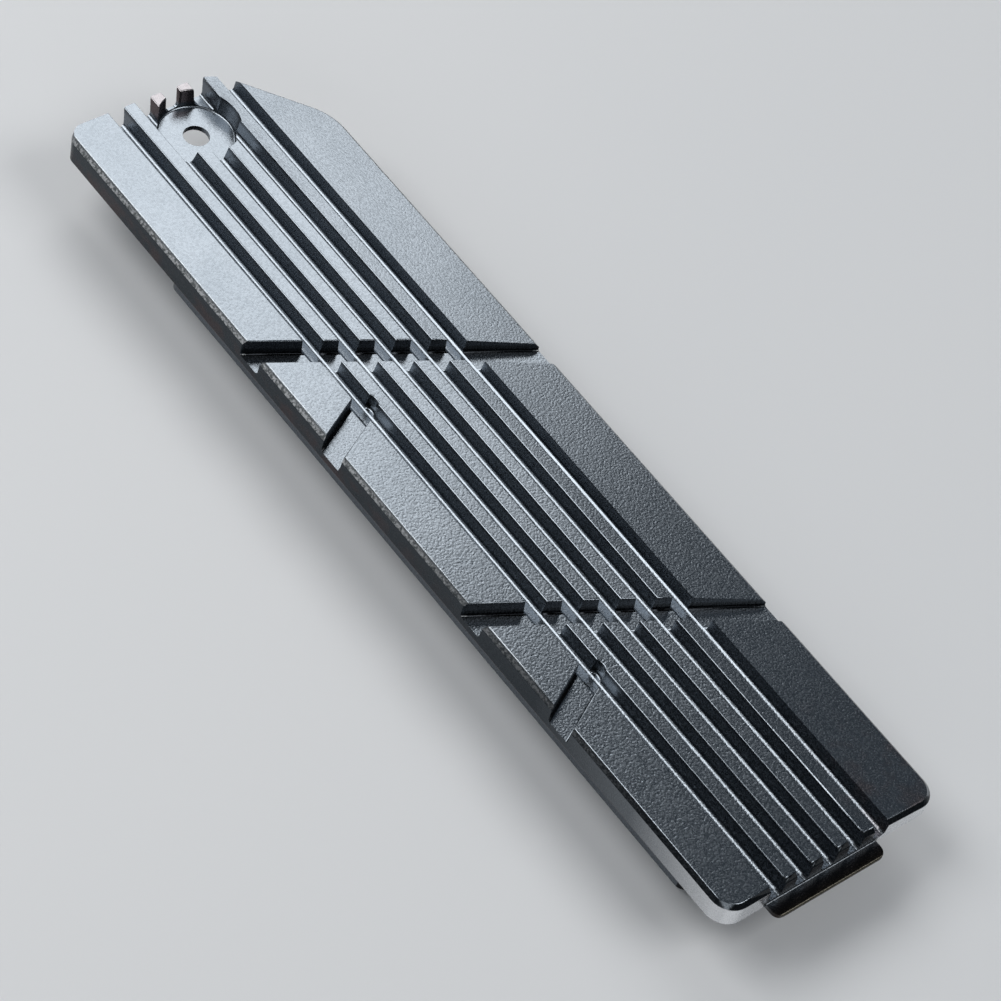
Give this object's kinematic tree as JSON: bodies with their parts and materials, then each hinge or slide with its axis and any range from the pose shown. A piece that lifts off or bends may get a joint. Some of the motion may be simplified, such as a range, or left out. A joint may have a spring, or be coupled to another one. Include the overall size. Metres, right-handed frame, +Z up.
{
  "type": "ssd heat sink",
  "caption": "Slim milled aluminium heat sink for a drive bay, with long ribs, diagonal slots, a screw seat, a cut corner, an end tongue and a thermal pad underneath.",
  "frame": {"origin": "middle of the footprint, on the surface that the pad rests on", "axes": "+X along the length, from the screw end to the tongue; +Y towards the sloping land; +Z up, out of the ribs"},
  "size_m": [0.1342, 0.0338, 0.011],
  "materials": {
    "anodised_aluminium": "bead blasted and anodised, satin",
    "pad_silicone": "soft, matte"
  },
  "bodies": {
    "root": {"heat_sink_body": "anodised_aluminium", "thermal_pad": "pad_silicone"}
  },
  "joints": []
}
